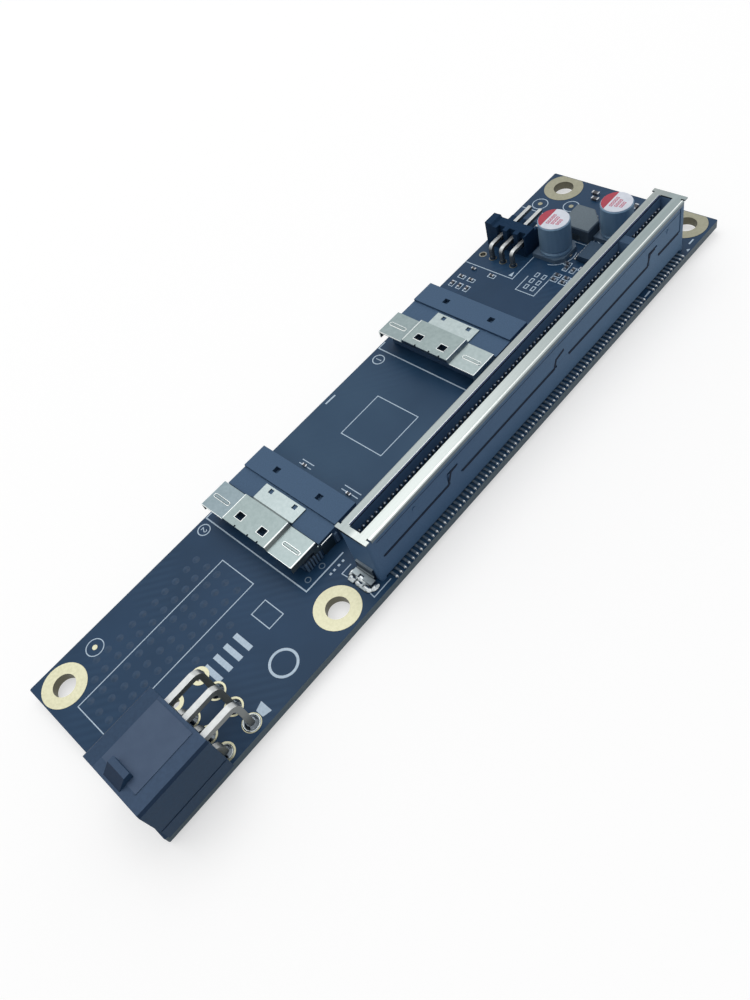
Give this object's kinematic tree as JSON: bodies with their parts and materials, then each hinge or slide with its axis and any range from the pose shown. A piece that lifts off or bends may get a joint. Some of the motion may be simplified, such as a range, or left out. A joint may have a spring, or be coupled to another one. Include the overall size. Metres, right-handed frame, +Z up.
{
  "type": "cable to card edge slot adapter card",
  "caption": "Long narrow adapter card with a card edge slot along one side, slim cable receptacles, a right-angle power header, can capacitors and plated mounting holes.",
  "frame": {"origin": "centre of the underside of the circuit board", "axes": "+X along the card from the power header to the far end, +Y across the card from the edge beside the slot to the cable side, +Z up out of the component side"},
  "size_m": [0.1456, 0.0379, 0.014],
  "materials": {
    "board_laminate": "satin solder mask over glass laminate",
    "gold_plating": "matt gold over copper",
    "slot_plastic": "satin moulded polymer",
    "slot_steel": "bright folded sheet",
    "contact_metal": "plated copper alloy",
    "tinned_metal": "tinned copper alloy",
    "shell_steel": "satin stamped sheet",
    "receptacle_plastic": "satin moulded polymer",
    "header_plastic": "satin black moulded polymer",
    "solder": "bright tin solder",
    "can_aluminium": "drawn can with a printed top",
    "base_plastic": "moulded polymer",
    "inductor_powder": "pressed metal powder",
    "chip_package": "moulded epoxy",
    "chip_ceramic": "fired ceramic"
  },
  "bodies": {
    "root": {"alignment_marks": "gold_plating", "aux_header_housing": "header_plastic", "aux_hole_plating": "gold_plating", "aux_pin_1": "tinned_metal", "aux_pin_2": "tinned_metal", "aux_pin_3": "tinned_metal", "aux_solder_joints": "solder", "capacitor_1_base": "base_plastic", "capacitor_1_can": "can_aluminium", "capacitor_1_leads": "tinned_metal", "capacitor_2_base": "base_plastic", "capacitor_2_can": "can_aluminium", "capacitor_2_leads": "tinned_metal", "chip_bodies": "chip_ceramic", "chip_end_caps": "tinned_metal", "circuit_board": "board_laminate", "inductor_body": "inductor_powder", "inductor_terminals": "tinned_metal", "mounting_hole_plating": "gold_plating", "power_header_housing": "header_plastic", "power_hole_plating": "gold_plating", "power_pin_lower_1": "tinned_metal", "power_pin_lower_2": "tinned_metal", "power_pin_lower_3": "tinned_metal", "power_pin_upper_1": "tinned_metal", "power_pin_upper_2": "tinned_metal", "power_pin_upper_3": "tinned_metal", "power_solder_joints": "solder", "receptacle_1_housing": "receptacle_plastic", "receptacle_1_lower_contacts": "contact_metal", "receptacle_1_rear_cover": "receptacle_plastic", "receptacle_1_shell": "shell_steel", "receptacle_1_upper_contacts": "contact_metal", "receptacle_2_housing": "receptacle_plastic", "receptacle_2_lower_contacts": "contact_metal", "receptacle_2_rear_cover": "receptacle_plastic", "receptacle_2_shell": "shell_steel", "receptacle_2_upper_contacts": "contact_metal", "regulator_body": "chip_package", "regulator_leads": "tinned_metal", "slot_anchor_far": "tinned_metal", "slot_anchor_near": "tinned_metal", "slot_contacts_edge_side": "contact_metal", "slot_contacts_inner_side": "contact_metal", "slot_frame": "slot_steel", "slot_housing": "slot_plastic"}
  },
  "joints": []
}
